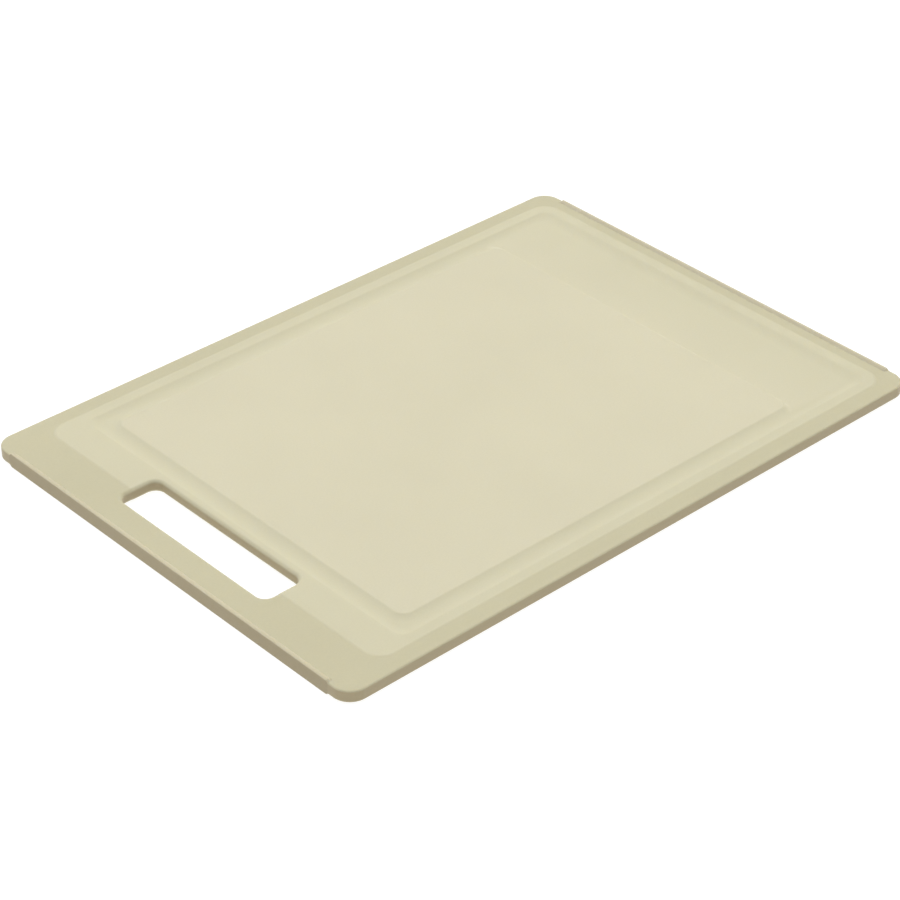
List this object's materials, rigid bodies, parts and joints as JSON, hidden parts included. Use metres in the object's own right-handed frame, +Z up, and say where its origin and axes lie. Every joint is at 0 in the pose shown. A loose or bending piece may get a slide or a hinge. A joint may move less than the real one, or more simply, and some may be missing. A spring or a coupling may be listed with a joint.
{
  "type": "cutting board",
  "caption": "Moulded plastic kitchen cutting board with a perimeter juice groove, a collecting well, a through hand slot and soft non-slip strips along its short ends.",
  "frame": {"origin": "centre of the footprint, on the surface that the board rests on", "axes": "+X along the length, away from the hand slot; +Y across the width; +Z up, out of the grooved face"},
  "size_m": [0.36, 0.2528, 0.0079],
  "materials": {
    "board_plastic": "fine matt moulded texture inside a smooth satin border",
    "grip_rubber": "soft satin, same colour as the board"
  },
  "bodies": {
    "root": {"board_body": "board_plastic", "far_end_grip": "grip_rubber", "handle_end_grip": "grip_rubber"}
  },
  "joints": []
}
